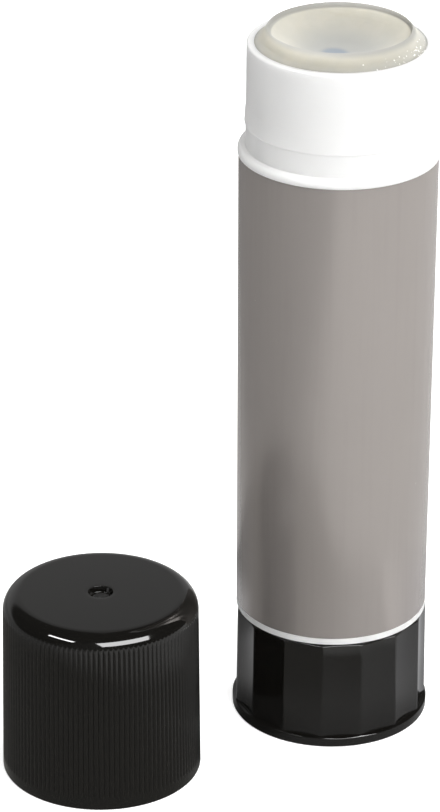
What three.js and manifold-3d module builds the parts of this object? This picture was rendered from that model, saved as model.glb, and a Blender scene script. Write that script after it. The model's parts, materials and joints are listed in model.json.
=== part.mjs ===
// Glue stick, opened, with its cap standing beside it.
// Millimetres, +Z up. The origin is on the stick's axis, at the surface that it stands on.
// Angles about an axis start at the front (-Y) and grow towards +X.

import * as THREE from 'three';
import { mergeVertices } from 'three/addons/utils/BufferGeometryUtils.js';
import Module from 'manifold-3d';

const wasm = await Module();
wasm.setup();

// Clearances between pieces
const RUNNING_GAP = 0.3;
const THREAD_GAP = 0.35;
const SOCKET_GAP = 0.2;
const LABEL_GAP = 0.12;
const CAP_FIT = 0.25;

// Heights of the stick, stacked from the table up
const KNOB_HEIGHT = 14.77;
const BARE_RING_HEIGHT = 0.87;
const LABEL_BED_HEIGHT = 63.3;
const SHOULDER_HEIGHT = 1.14;
const NECK_HEIGHT = 13.6;
const BARREL_BOTTOM = KNOB_HEIGHT + RUNNING_GAP;
const LABEL_BED_BOTTOM = BARREL_BOTTOM + BARE_RING_HEIGHT;
const LABEL_BED_TOP = LABEL_BED_BOTTOM + LABEL_BED_HEIGHT;
const SHOULDER_TOP = LABEL_BED_TOP + SHOULDER_HEIGHT;
const RIM = SHOULDER_TOP + NECK_HEIGHT;

// Barrel, outside
const NECK_RADIUS = 11.78;
const NECK_WALL = 0.98;
const SHOULDER_STEP = 1.02;
const TUBE_FLARE = 0.2;
const LABEL_SINK = 0.12;
const LABEL_THICKNESS = 0.15;
const BEAD_HEIGHT_ON_NECK = 3.1;
const BEAD_LENGTH = 2.5;
const BEAD_PROUD = 0.15;
const LIP_ROUNDING = 0.25;
const SHOULDER_RADIUS = NECK_RADIUS + SHOULDER_STEP;
const LABEL_RADIUS = SHOULDER_RADIUS - LABEL_SINK - TUBE_FLARE;
const LABEL_BED_RADIUS = LABEL_RADIUS - LABEL_THICKNESS - LABEL_GAP;
const LABEL_SEAM_WIDTH = 0.4;

// Knob
const KNOB_OVERHANG = 0.09;
const KNOB_FLARE = 0.13;
const FOOT_BAND_PROUD = 0.24;
const FOOT_BAND_HEIGHT = 1.4;
const FOOT_ROUNDING = 0.2;
const FOOT_RING_WIDTH = 1.9;
const FOOT_PAD_RADIUS = 5.5;
const FOOT_GROOVE_DEPTH = 0.5;
const FLUTE_COUNT = 15;
const FLUTE_DEPTH = 0.4;
const FLUTE_RUN_OUT = 0.2;
const FLUTE_PHASE = THREE.MathUtils.degToRad(-6.1);
const KNOB_WALL = 1.45;
const KNOB_FLOOR = 1.8;
const KNOB_EDGE = 0.2;
const WEB_COUNT = 3;
const WEB_THICKNESS = 1.0;
const WEB_BELOW_SKIRT = 2.0;
const KNOB_RADIUS = LABEL_RADIUS + KNOB_OVERHANG;
const KNOB_BORE = KNOB_RADIUS - FLUTE_DEPTH - KNOB_WALL;

// Barrel, inside
const FLOOR_RAISE = 0.95;
const FLOOR_THICKNESS = 1.5;
const HUB_LENGTH = 1.6;
const HUB_WALL = 1.7;
const SKIRT_WALL = 1.2;
const SKIRT_DEPTH = 3.6;
const GUIDE_COUNT = 3;
const GUIDE_HEIGHT = 0.5;
const GUIDE_WIDTH = 1.4;
const GUIDE_BELOW_RIM = 6.0;
const GUIDE_FIRST_ANGLE = Math.PI / 3;
const BORE_RADIUS = NECK_RADIUS - NECK_WALL;
const FLOOR_BOTTOM = BARREL_BOTTOM + FLOOR_RAISE;
const FLOOR_TOP = FLOOR_BOTTOM + FLOOR_THICKNESS;
const HUB_BOTTOM = FLOOR_BOTTOM - HUB_LENGTH;
const SKIRT_BOTTOM = BARREL_BOTTOM - SKIRT_DEPTH;
const SKIRT_RADIUS = KNOB_BORE - RUNNING_GAP;
const GUIDE_TOP = RIM - GUIDE_BELOW_RIM;
const GROOVE_FLOOR = BORE_RADIUS - GUIDE_HEIGHT - RUNNING_GAP;
const GROOVE_WIDTH = GUIDE_WIDTH + 2 * RUNNING_GAP;

// Spindle: its left-hand screw lifts the elevator as the knob turns anticlockwise seen from above
const LEAD = 5.0;
const CREST_RADIUS = 3.0;
const THREAD_DEPTH = 0.8;
const CREST_HALF_ANGLE = THREE.MathUtils.degToRad(32);
const FLANK_ANGLE = THREE.MathUtils.degToRad(45);
const JOURNAL_RADIUS = 2.6;
const FLANGE_RADIUS = 5.6;
const FLANGE_THICKNESS = 1.2;
const SHANK_WIDTH = 3.6;
const SHANK_END_GAP = 0.5;
const TIP_RADIUS = 1.75;
const TIP_LENGTH = 3.5;
const BOSS_WALL = 1.6;
const FLANGE_BOTTOM = FLOOR_TOP + RUNNING_GAP;
const FLANGE_TOP = FLANGE_BOTTOM + FLANGE_THICKNESS;
const JOURNAL_BOTTOM = HUB_BOTTOM - RUNNING_GAP;
const BOSS_TOP = JOURNAL_BOTTOM - RUNNING_GAP;
const SOCKET_WIDTH = SHANK_WIDTH + 2 * SOCKET_GAP;
const BOSS_RADIUS = SOCKET_WIDTH / Math.SQRT2 + BOSS_WALL;

// Elevator
const TRAVEL = 60.0;
const CUP_HEIGHT = 11.6;
const CUP_WALL = 0.9;
const CUP_FLOOR = 1.4;
const NUT_HEIGHT = 8.0;
const NUT_WALL = 1.3;
const NUT_RIB_HALF_ANGLE = THREE.MathUtils.degToRad(48);
const ELEVATOR_BOTTOM = FLANGE_TOP + RUNNING_GAP;
const CUP_TOP = ELEVATOR_BOTTOM + CUP_HEIGHT;
const CUP_FLOOR_TOP = ELEVATOR_BOTTOM + CUP_FLOOR;
const NUT_TOP = ELEVATOR_BOTTOM + NUT_HEIGHT;
const ELEVATOR_RADIUS = BORE_RADIUS - RUNNING_GAP;
const CUP_BORE = ELEVATOR_RADIUS - CUP_WALL;
const NUT_BORE = CREST_RADIUS + THREAD_GAP;
const NUT_RADIUS = NUT_BORE + NUT_WALL;
const THREAD_TOP = NUT_TOP + TRAVEL + LEAD / 8;
const TIP_TOP = THREAD_TOP + TIP_LENGTH;

// Glue: its dished top stands a little above the rim
const GLUE_ABOVE_RIM = 1.9;
const DISH_RADIUS = 9.25;
const DISH_DEPTH = 3.5;
const DISH_EDGE = 0.2;
const GLUE_SLOPE_START = 0.6;
const GLUE_RADIUS = BORE_RADIUS - THREAD_GAP;
const GLUE_TOP = RIM + GLUE_ABOVE_RIM;

// Cap
const CAP_HEIGHT = 24.83;
const CAP_WALL = 0.85;
const CAP_TOP_THICKNESS = 1.3;
const CAP_DRAFT = 0.013;
const CAP_EDGE_RADIUS = 2.4;
const CAP_BAND_HEIGHT = 1.4;
const CAP_BEAD_PROUD = 0.2;
const CAP_BEAD_LENGTH = 1.0;
const RIB_COUNT = 120;
const RIB_DEPTH = 0.16;
const RIB_RUN_OUT = 0.25;
const GATE_RADIUS = 1.6;
const GATE_DEPTH = 0.6;
const CAP_STANDS_CLEAR_BY = 8.795;
const CAP_BEARING = THREE.MathUtils.degToRad(-61.37);
const CAP_BORE = NECK_RADIUS + CAP_FIT;
const CAP_RADIUS = CAP_BORE + CAP_WALL;
const CAP_DISTANCE = LABEL_RADIUS + CAP_STANDS_CLEAR_BY + CAP_RADIUS;

// Fineness of the round shapes
const ROUND_SEGMENTS = 48;
const SEGMENTS_PER_FLUTE = 6;
const STEPS_PER_TURN = 12;
const ROUNDING_STEPS = 3;
const DISH_STEPS = 6;
const OVERLAP = 0.5;

// Colours and finishes
const FINISHES = {
  black: { color: '#232221', roughness: 0.28, metalness: 0 },
  white: { color: '#f3f2ef', roughness: 0.38, metalness: 0 },
  natural: { color: '#e6e5df', roughness: 0.45, metalness: 0 },
  grey: { color: '#a19d99', roughness: 0.3, metalness: 0 },
  gel: { color: '#cfcbc0', roughness: 0.22, metalness: 0 },
};

// Merge the doubled vertices and drop the triangles that the merge flattens
function welded(geometry) {
  geometry.deleteAttribute('normal');
  geometry.deleteAttribute('uv');
  const merged = mergeVertices(geometry, 1e-4);
  const index = merged.index.array;
  const kept = [];
  for (let i = 0; i < index.length; i += 3) {
    const [a, b, c] = [index[i], index[i + 1], index[i + 2]];
    if (a !== b && b !== c && c !== a) kept.push(a, b, c);
  }
  merged.setIndex(kept);
  return merged;
}

function solidOf(geometry) {
  return new wasm.Manifold(new wasm.Mesh({
    numProp: 3,
    vertProperties: new Float32Array(geometry.attributes.position.array),
    triVerts: new Uint32Array(geometry.index.array),
  }));
}

function geometryOf(solid) {
  const mesh = solid.getMesh();
  const geometry = new THREE.BufferGeometry();
  geometry.setAttribute('position', new THREE.BufferAttribute(mesh.vertProperties, 3));
  geometry.setIndex(new THREE.BufferAttribute(mesh.triVerts, 1));
  return geometry;
}

// Turn a [radius, height] outline about the Z axis; reshape may change a point's radius by its angle
function revolve(points, segments, start = 0, reshape = (radius) => radius) {
  const outline = points.map(([radius, height]) => new THREE.Vector2(radius, height));
  const turned = new THREE.LatheGeometry(outline, segments, start);
  turned.rotateX(Math.PI / 2);
  const position = turned.attributes.position;
  for (let i = 0; i < position.count; i += 1) {
    const [x, y, z] = [position.getX(i), position.getY(i), position.getZ(i)];
    const radius = Math.hypot(x, y);
    const scale = radius > 0 ? reshape(radius, Math.atan2(x, -y), z) / radius : 1;
    position.setXYZ(i, x * scale, y * scale, z);
  }
  return welded(turned);
}

// Points of a rounding from one angle to another, without its first point
function rounding(centreRadius, centreHeight, radius, fromAngle, toAngle, steps = ROUNDING_STEPS) {
  const points = [];
  for (let i = 1; i <= steps; i += 1) {
    const angle = fromAngle + (toAngle - fromAngle) * i / steps;
    points.push([centreRadius + radius * Math.cos(angle), centreHeight + radius * Math.sin(angle)]);
  }
  return points;
}

// A block across X and Y from one height to another, moved out to a radius at the front and turned
function block(width, depth, bottom, top, outTo = 0, angle = 0) {
  const box = new THREE.BoxGeometry(width, depth, top - bottom);
  box.translate(0, -outTo, (bottom + top) / 2);
  box.rotateZ(angle);
  return solidOf(welded(box));
}

function knobGeometry() {
  const footRadius = KNOB_RADIUS + KNOB_FLARE + FOOT_BAND_PROUD;
  const grooveOuter = footRadius - FOOT_ROUNDING - FOOT_RING_WIDTH;
  const outline = [
    [0, 0],
    [FOOT_PAD_RADIUS, 0],
    [FOOT_PAD_RADIUS, FOOT_GROOVE_DEPTH],
    [grooveOuter, FOOT_GROOVE_DEPTH],
    [grooveOuter, 0],
    [footRadius - FOOT_ROUNDING, 0],
    ...rounding(footRadius - FOOT_ROUNDING, FOOT_ROUNDING, FOOT_ROUNDING, -Math.PI / 2, 0, 2),
    ...runOutRows(footRadius),
    [KNOB_RADIUS, KNOB_HEIGHT - KNOB_EDGE],
    [KNOB_RADIUS - KNOB_EDGE, KNOB_HEIGHT],
    [KNOB_BORE, KNOB_HEIGHT],
    [KNOB_BORE, KNOB_FLOOR],
    [BOSS_RADIUS, KNOB_FLOOR],
    [BOSS_RADIUS, BOSS_TOP],
    [0, BOSS_TOP],
  ];
  const cup = revolve(outline, FLUTE_COUNT * SEGMENTS_PER_FLUTE, FLUTE_PHASE, flutedRadius);
  let knob = solidOf(cup);
  for (let i = 0; i < WEB_COUNT; i += 1) {
    const webTop = SKIRT_BOTTOM - WEB_BELOW_SKIRT;
    const webLength = 2 * KNOB_BORE + OVERLAP;
    const angle = i * Math.PI / WEB_COUNT;
    knob = knob.add(block(WEB_THICKNESS, webLength, KNOB_FLOOR - OVERLAP, webTop, 0, angle));
  }
  const socket = block(SOCKET_WIDTH, SOCKET_WIDTH, KNOB_FLOOR, BOSS_TOP + OVERLAP);
  return geometryOf(knob.subtract(socket));
}

// Outline rows where the flutes run out into the foot band, from the band up
function runOutRows(footRadius) {
  const rows = [];
  for (let i = 0; i <= ROUNDING_STEPS; i += 1) {
    const share = i / ROUNDING_STEPS;
    const radius = THREE.MathUtils.lerp(footRadius, KNOB_RADIUS + KNOB_FLARE, share);
    rows.push([radius, FOOT_BAND_HEIGHT + FLUTE_RUN_OUT * share]);
  }
  return rows;
}

// The knob's outer wall is scooped between its ridges, above the foot band
function flutedRadius(radius, angle, height) {
  const outside = radius > KNOB_BORE + OVERLAP && height > FOOT_BAND_HEIGHT;
  if (!outside) return radius;
  const fluteAngle = 2 * Math.PI / FLUTE_COUNT;
  const turns = (angle - FLUTE_PHASE) / fluteAngle;
  const across = 2 * (turns - Math.floor(turns)) - 1;
  const runOut = THREE.MathUtils.smoothstep(height, FOOT_BAND_HEIGHT, FOOT_BAND_HEIGHT + FLUTE_RUN_OUT);
  return radius - FLUTE_DEPTH * runOut * (1 - across * across);
}

function barrelGeometry() {
  const skirtBore = SKIRT_RADIUS - SKIRT_WALL;
  const hubBore = JOURNAL_RADIUS + RUNNING_GAP;
  const outline = [
    [skirtBore, SKIRT_BOTTOM],
    [SKIRT_RADIUS, SKIRT_BOTTOM],
    [SKIRT_RADIUS, BARREL_BOTTOM],
    [LABEL_RADIUS, BARREL_BOTTOM],
    [LABEL_RADIUS, LABEL_BED_BOTTOM],
    [LABEL_BED_RADIUS, LABEL_BED_BOTTOM],
    [LABEL_BED_RADIUS + TUBE_FLARE, LABEL_BED_TOP],
    [SHOULDER_RADIUS, LABEL_BED_TOP],
    ...shoulderAndNeck(),
    [BORE_RADIUS, FLOOR_TOP],
    [hubBore, FLOOR_TOP],
    [hubBore, HUB_BOTTOM],
    [hubBore + HUB_WALL, HUB_BOTTOM],
    [hubBore + HUB_WALL, FLOOR_BOTTOM],
    [skirtBore, FLOOR_BOTTOM],
    [skirtBore, SKIRT_BOTTOM],
  ];
  let barrel = solidOf(revolve(outline, ROUND_SEGMENTS));
  for (let i = 0; i < GUIDE_COUNT; i += 1) {
    const depth = GUIDE_HEIGHT + OVERLAP;
    const outTo = BORE_RADIUS - GUIDE_HEIGHT + depth / 2;
    barrel = barrel.add(block(GUIDE_WIDTH, depth, FLOOR_TOP - OVERLAP, GUIDE_TOP, outTo, guideAngle(i)));
  }
  return geometryOf(barrel);
}

// The rounded collar over the label, the neck with its snap bead, and the lip at the rim
function shoulderAndNeck() {
  const collarRounding = Math.min(SHOULDER_STEP, SHOULDER_HEIGHT) * 0.8;
  const beadBottom = SHOULDER_TOP + BEAD_HEIGHT_ON_NECK;
  const collarCentre = SHOULDER_RADIUS - collarRounding;
  return [
    [SHOULDER_RADIUS, SHOULDER_TOP - collarRounding],
    ...rounding(collarCentre, SHOULDER_TOP - collarRounding, collarRounding, 0, Math.PI / 2),
    [NECK_RADIUS, SHOULDER_TOP],
    [NECK_RADIUS, beadBottom - BEAD_PROUD],
    [NECK_RADIUS + BEAD_PROUD, beadBottom],
    [NECK_RADIUS, beadBottom + BEAD_LENGTH],
    [NECK_RADIUS, RIM - LIP_ROUNDING],
    [NECK_RADIUS - LIP_ROUNDING, RIM],
    [BORE_RADIUS + LIP_ROUNDING, RIM],
    [BORE_RADIUS, RIM - LIP_ROUNDING],
  ];
}

function guideAngle(number) {
  return GUIDE_FIRST_ANGLE + number * 2 * Math.PI / GUIDE_COUNT;
}

// Cut the running grooves for the barrel's guide ribs, up to a height
function withGrooves(solid, bottom, top) {
  const depth = 2 * (BORE_RADIUS - GROOVE_FLOOR);
  let grooved = solid;
  for (let i = 0; i < GUIDE_COUNT; i += 1) {
    const outTo = GROOVE_FLOOR + depth / 2;
    grooved = grooved.subtract(block(GROOVE_WIDTH, depth, bottom, top, outTo, guideAngle(i)));
  }
  return grooved;
}

// The label widens upwards with the barrel, and its two ends leave a seam at the back
function labelGeometry() {
  const bottom = LABEL_BED_BOTTOM + LABEL_GAP;
  const top = LABEL_BED_TOP - LABEL_GAP;
  const inner = LABEL_RADIUS - LABEL_THICKNESS;
  const ring = [
    [inner, bottom],
    [LABEL_RADIUS, bottom],
    [LABEL_RADIUS + TUBE_FLARE, top],
    [inner + TUBE_FLARE, top],
    [inner, bottom],
  ];
  const seamDepth = 2 * LABEL_THICKNESS + OVERLAP;
  const seam = block(LABEL_SEAM_WIDTH, seamDepth, bottom - OVERLAP, top + OVERLAP, LABEL_RADIUS, Math.PI);
  return geometryOf(solidOf(revolve(ring, ROUND_SEGMENTS)).subtract(seam));
}

// Extrude a cross-section along Z and twist it into a left-hand screw of the thread's lead.
// It is twisted right-handed and mirrored, so that its triangles run along the screw, not across it.
function screw(corners, bottom, top) {
  const section = new THREE.Shape(corners.map(([radius, angle]) => (
    new THREE.Vector2(radius * Math.cos(angle), radius * Math.sin(angle))
  )));
  const depth = top - bottom;
  const steps = Math.ceil(depth / LEAD * STEPS_PER_TURN);
  const bar = new THREE.ExtrudeGeometry(section, { depth, steps, bevelEnabled: false });
  bar.translate(0, 0, bottom);
  const position = bar.attributes.position;
  const point = new THREE.Vector3();
  const axis = new THREE.Vector3(0, 0, 1);
  for (let i = 0; i < position.count; i += 1) {
    point.fromBufferAttribute(position, i);
    point.applyAxisAngle(axis, 2 * Math.PI * point.z / LEAD);
    position.setXYZ(i, -point.x, point.y, point.z);
  }
  const mirrored = welded(bar);
  mirrored.index.array.reverse();
  return solidOf(mirrored);
}

// Cross-section of the threaded rod: one crest, two flanks and the round root between them
function threadCorners() {
  const root = CREST_RADIUS - THREAD_DEPTH;
  const rootStart = CREST_HALF_ANGLE + FLANK_ANGLE;
  const rootSteps = 4;
  const corners = [-1, 0, 1].map((side) => [CREST_RADIUS, side * CREST_HALF_ANGLE]);
  for (let i = 0; i <= rootSteps; i += 1) {
    corners.push([root, rootStart + (2 * Math.PI - 2 * rootStart) * i / rootSteps]);
  }
  return corners;
}

// Cross-section of the rib inside the nut, which runs in the rod's root opposite the crest
function nutRibCorners() {
  const inner = CREST_RADIUS - THREAD_DEPTH + THREAD_GAP;
  const outer = NUT_BORE + OVERLAP;
  const half = NUT_RIB_HALF_ANGLE;
  return [
    [inner, Math.PI + half],
    [inner, Math.PI + half / 3],
    [inner, Math.PI - half / 3],
    [inner, Math.PI - half],
    [outer, Math.PI - half],
    [outer, Math.PI - half / 3],
    [outer, Math.PI + half / 3],
    [outer, Math.PI + half],
  ];
}

function spindleGeometry() {
  const flange = revolve([
    [0, JOURNAL_BOTTOM],
    [JOURNAL_RADIUS, JOURNAL_BOTTOM],
    [JOURNAL_RADIUS, FLANGE_BOTTOM],
    [FLANGE_RADIUS, FLANGE_BOTTOM],
    [FLANGE_RADIUS, FLANGE_TOP],
    [0, FLANGE_TOP],
  ], ROUND_SEGMENTS / 2);
  const tip = revolve([
    [0, THREAD_TOP - OVERLAP],
    [TIP_RADIUS, THREAD_TOP - OVERLAP],
    [TIP_RADIUS, TIP_TOP - TIP_RADIUS / 2],
    [TIP_RADIUS / 2, TIP_TOP],
    [0, TIP_TOP],
  ], ROUND_SEGMENTS / 4);
  const shankBottom = KNOB_FLOOR + SHANK_END_GAP;
  const shank = block(SHANK_WIDTH, SHANK_WIDTH, shankBottom, JOURNAL_BOTTOM + OVERLAP);
  const rod = screw(threadCorners(), FLANGE_TOP - OVERLAP, THREAD_TOP);
  return geometryOf(solidOf(flange).add(rod).add(shank).add(solidOf(tip)));
}

function elevatorGeometry() {
  const cup = revolve([
    [NUT_BORE, ELEVATOR_BOTTOM],
    [ELEVATOR_RADIUS, ELEVATOR_BOTTOM],
    [ELEVATOR_RADIUS, CUP_TOP],
    [CUP_BORE, CUP_TOP],
    [CUP_BORE, CUP_FLOOR_TOP],
    [NUT_RADIUS, CUP_FLOOR_TOP],
    [NUT_RADIUS, NUT_TOP],
    [NUT_BORE, NUT_TOP],
    [NUT_BORE, ELEVATOR_BOTTOM],
  ], ROUND_SEGMENTS);
  const rib = screw(nutRibCorners(), ELEVATOR_BOTTOM + RUNNING_GAP, NUT_TOP - RUNNING_GAP);
  return geometryOf(withGrooves(solidOf(cup).add(rib), ELEVATOR_BOTTOM - OVERLAP, CUP_TOP + OVERLAP));
}

// The glue fills the cup and the barrel, round the nut and the spindle, up to its dished top
function glueGeometry() {
  const tipBore = TIP_RADIUS + RUNNING_GAP;
  const tipBoreTop = TIP_TOP + RUNNING_GAP;
  const bottom = CUP_FLOOR_TOP + RUNNING_GAP;
  const nutBore = NUT_RADIUS + RUNNING_GAP;
  const cupFill = CUP_BORE - RUNNING_GAP;
  const threadBoreTop = THREAD_TOP + RUNNING_GAP;
  const outline = [
    [0, tipBoreTop],
    [tipBore, tipBoreTop],
    [tipBore, threadBoreTop],
    [NUT_BORE, threadBoreTop],
    [NUT_BORE, NUT_TOP + RUNNING_GAP],
    [nutBore, NUT_TOP + RUNNING_GAP],
    [nutBore, bottom],
    [cupFill, bottom],
    [cupFill, CUP_TOP + RUNNING_GAP],
    [GLUE_RADIUS, CUP_TOP + RUNNING_GAP],
    [GLUE_RADIUS, RIM - GLUE_SLOPE_START],
    [DISH_RADIUS + DISH_EDGE, GLUE_TOP],
    ...dishOutline(),
  ];
  const glue = solidOf(revolve(outline, ROUND_SEGMENTS));
  return geometryOf(withGrooves(glue, CUP_TOP - OVERLAP, GUIDE_TOP + RUNNING_GAP));
}

// The hollow top of the glue, from its edge in to the axis, as a part of a sphere
function dishOutline() {
  const sphere = (DISH_RADIUS ** 2 + DISH_DEPTH ** 2) / (2 * DISH_DEPTH);
  const points = [];
  for (let i = 0; i <= DISH_STEPS; i += 1) {
    const radius = DISH_RADIUS * (1 - i / DISH_STEPS);
    const sag = sphere - Math.sqrt(sphere ** 2 - radius ** 2);
    points.push([radius, GLUE_TOP - DISH_DEPTH + sag]);
  }
  return points;
}

function capGeometry() {
  const mouthEdge = CAP_WALL / 4;
  const ribTop = CAP_HEIGHT - CAP_EDGE_RADIUS;
  const edgeCentre = tapered(CAP_RADIUS, ribTop) - CAP_EDGE_RADIUS;
  const outside = revolve([
    [0, 0],
    [CAP_RADIUS - mouthEdge, 0],
    [CAP_RADIUS, mouthEdge],
    [tapered(CAP_RADIUS, CAP_BAND_HEIGHT), CAP_BAND_HEIGHT],
    [tapered(CAP_RADIUS, CAP_BAND_HEIGHT), CAP_BAND_HEIGHT + RIB_RUN_OUT],
    [tapered(CAP_RADIUS, ribTop), ribTop - RIB_RUN_OUT],
    [tapered(CAP_RADIUS, ribTop), ribTop],
    ...rounding(edgeCentre, ribTop, CAP_EDGE_RADIUS, 0, Math.PI / 2),
    [0, CAP_HEIGHT],
  ], 2 * RIB_COUNT, 0, ribbedRadius);
  const gate = revolve([
    [0, CAP_HEIGHT - GATE_DEPTH],
    [GATE_RADIUS, CAP_HEIGHT - GATE_DEPTH],
    [GATE_RADIUS, CAP_HEIGHT + OVERLAP],
    [0, CAP_HEIGHT + OVERLAP],
  ], ROUND_SEGMENTS / 2);
  return geometryOf(solidOf(outside).subtract(solidOf(capHollow())).subtract(solidOf(gate)));
}

// The inside of the cap, narrowed by the snap bead that grips below the neck's bead
function capHollow() {
  const ceiling = CAP_HEIGHT - CAP_TOP_THICKNESS;
  const beadMiddle = BEAD_HEIGHT_ON_NECK - CAP_BEAD_LENGTH;
  const beadTop = beadMiddle + CAP_BEAD_LENGTH / 2;
  const beadBottom = beadMiddle - CAP_BEAD_LENGTH / 2;
  return revolve([
    [0, -OVERLAP],
    [CAP_BORE, -OVERLAP],
    [tapered(CAP_BORE, beadBottom), beadBottom],
    [CAP_BORE - CAP_BEAD_PROUD, beadMiddle],
    [tapered(CAP_BORE, beadTop), beadTop],
    [tapered(CAP_BORE, ceiling), ceiling],
    [0, ceiling],
  ], ROUND_SEGMENTS);
}

function tapered(radius, height) {
  return radius - CAP_DRAFT * height;
}

// The cap's wall is ribbed between the smooth band at its mouth and its rounded top edge
function ribbedRadius(radius, angle, height) {
  const outside = radius > CAP_BORE + CAP_WALL / 2;
  const ribbed = height > CAP_BAND_HEIGHT && height < CAP_HEIGHT - CAP_EDGE_RADIUS;
  if (!outside || !ribbed) return radius;
  return radius - RIB_DEPTH * (1 - Math.cos(RIB_COUNT * angle)) / 2;
}

function piece(name, geometry, finish) {
  const mesh = new THREE.Mesh(geometry, new THREE.MeshStandardMaterial(FINISHES[finish]));
  mesh.name = name;
  return mesh;
}

function glueStick() {
  const stick = new THREE.Group();
  stick.add(piece('barrel', barrelGeometry(), 'white'));
  stick.add(piece('label', labelGeometry(), 'grey'));
  stick.add(piece('knob', knobGeometry(), 'black'));
  stick.add(piece('spindle', spindleGeometry(), 'black'));
  stick.add(piece('elevator', elevatorGeometry(), 'natural'));
  stick.add(piece('glue', glueGeometry(), 'gel'));
  return stick;
}

function standingCap() {
  const cap = piece('cap', capGeometry(), 'black');
  cap.position.set(CAP_DISTANCE * Math.sin(CAP_BEARING), -CAP_DISTANCE * Math.cos(CAP_BEARING), 0);
  return cap;
}

const object = new THREE.Group();
object.add(glueStick());
object.add(standingCap());

export default object;
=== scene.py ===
"""Looks of an opened glue stick and the cap that stands beside it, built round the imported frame.

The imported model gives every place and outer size. Outlines are written in millimetres, and the meshes are in
metres. Angles about an axis start at the front (-Y) and grow towards +X.
"""

from __future__ import annotations

import json
import logging
import math
from collections.abc import Callable, Iterable, Sequence
from dataclasses import dataclass
from enum import Enum
from random import Random
from typing import Any

import bmesh
import bpy
from mathutils import Matrix, Vector, noise

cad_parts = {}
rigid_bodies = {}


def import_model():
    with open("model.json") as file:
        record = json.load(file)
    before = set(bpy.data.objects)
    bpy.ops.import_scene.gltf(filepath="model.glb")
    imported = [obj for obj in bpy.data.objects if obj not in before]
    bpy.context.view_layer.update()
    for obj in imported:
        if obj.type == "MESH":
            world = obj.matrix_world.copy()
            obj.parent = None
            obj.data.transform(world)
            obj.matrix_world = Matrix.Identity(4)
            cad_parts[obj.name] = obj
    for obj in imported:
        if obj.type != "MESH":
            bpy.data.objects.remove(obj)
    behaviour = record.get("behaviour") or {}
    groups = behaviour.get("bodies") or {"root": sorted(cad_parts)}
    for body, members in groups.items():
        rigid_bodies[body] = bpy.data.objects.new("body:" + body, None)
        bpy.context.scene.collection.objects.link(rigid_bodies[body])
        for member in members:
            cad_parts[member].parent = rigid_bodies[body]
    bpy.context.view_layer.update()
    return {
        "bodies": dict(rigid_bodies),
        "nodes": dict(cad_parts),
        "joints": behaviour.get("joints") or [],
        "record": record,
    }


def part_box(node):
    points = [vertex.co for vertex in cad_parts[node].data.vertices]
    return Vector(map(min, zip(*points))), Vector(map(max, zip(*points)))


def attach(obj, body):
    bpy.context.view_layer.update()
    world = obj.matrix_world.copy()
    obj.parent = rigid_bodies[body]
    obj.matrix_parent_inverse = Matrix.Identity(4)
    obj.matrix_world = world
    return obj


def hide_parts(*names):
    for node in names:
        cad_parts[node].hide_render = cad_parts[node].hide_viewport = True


LOG = logging.getLogger("glue_stick")

MM = 0.001
FULL_TURN = 2.0 * math.pi
# How strong each finer octave of a noise is beside the one before it.
FINER_SHARE = 0.55
# The setting of a Map Range node that eases in and out between its ends.
SMOOTH = {"interpolation_type": "SMOOTHSTEP"}

Colour = tuple[float, float, float, float]
Corner = tuple[float, float, float]
Inputs = dict[str | int, Any]
Mesh = bmesh.types.BMesh
Node = bpy.types.Node
Point = tuple[float, float]
Reshape = Callable[[float, float, float], float]
Socket = bpy.types.NodeSocket
Tree = bpy.types.NodeTree


class Body(Enum):
    """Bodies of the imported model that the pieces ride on."""

    TUBE = "tube"
    TWIST_BASE = "twist_base"
    CARRIER = "carrier"
    LOOSE_CAP = "loose_cap"


class Slot(Enum):
    """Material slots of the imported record."""

    WHITE_PLASTIC = "white_plastic"
    GREY_WRAP = "grey_wrap"
    BLACK_PLASTIC = "black_plastic"
    GLUE = "glue"


def linear(hex_colour: str) -> Colour:
    """Turn an sRGB hex colour into linear light.

    Args:
        hex_colour: six hex digits after a number sign.

    Returns:
        Red, green, blue and an alpha of 1.
    """
    channels = []
    for start in (1, 3, 5):
        value = int(hex_colour[start : start + 2], 16) / 255.0
        channels.append(value / 12.92 if value <= 0.04045 else ((value + 0.055) / 1.055) ** 2.4)
    return (channels[0], channels[1], channels[2], 1.0)


def add_node(tree: Tree, kind: str, inputs: Sequence[Any] | Inputs = (), **settings: Any) -> Node:
    """Add a shader node with its settings and links.

    Args:
        tree: the node tree it goes into.
        kind: the node's type name.
        inputs: the node's inputs, in their order or by name or number. Each is a value, an output socket,
            or a node whose first output feeds it.
        settings: values of the node's own properties.

    Returns:
        The new node.
    """
    node = tree.nodes.new(kind)
    for name, value in settings.items():
        setattr(node, name, value)
    for name, value in inputs.items() if isinstance(inputs, dict) else enumerate(inputs):
        source = value.outputs[0] if isinstance(value, bpy.types.Node) else value
        if isinstance(source, bpy.types.NodeSocket):
            tree.links.new(source, node.inputs[name])
        else:
            node.inputs[name].default_value = source
    return node


def blank_material(name: str) -> bpy.types.Material:
    """Start a material whose node tree is empty.

    Args:
        name: the material's name.

    Returns:
        The material.
    """
    material = bpy.data.materials.new(name)
    material.use_nodes = True
    material.node_tree.nodes.clear()
    return material


def object_coordinates(tree: Tree, centre: Vector | None = None) -> Node:
    """Give Object coordinates in millimetres, counted from a centre.

    Args:
        tree: the material's node tree.
        centre: the point, in metres, that becomes the middle of the pattern.

    Returns:
        The node whose output holds the coordinates.
    """
    texture = add_node(tree, "ShaderNodeTexCoord")
    offset = -(centre or Vector((0.0, 0.0, 0.0))) / MM
    return add_node(
        tree,
        "ShaderNodeMapping",
        {"Vector": texture.outputs["Object"], "Location": offset, "Scale": (1 / MM, 1 / MM, 1 / MM)},
    )


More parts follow.
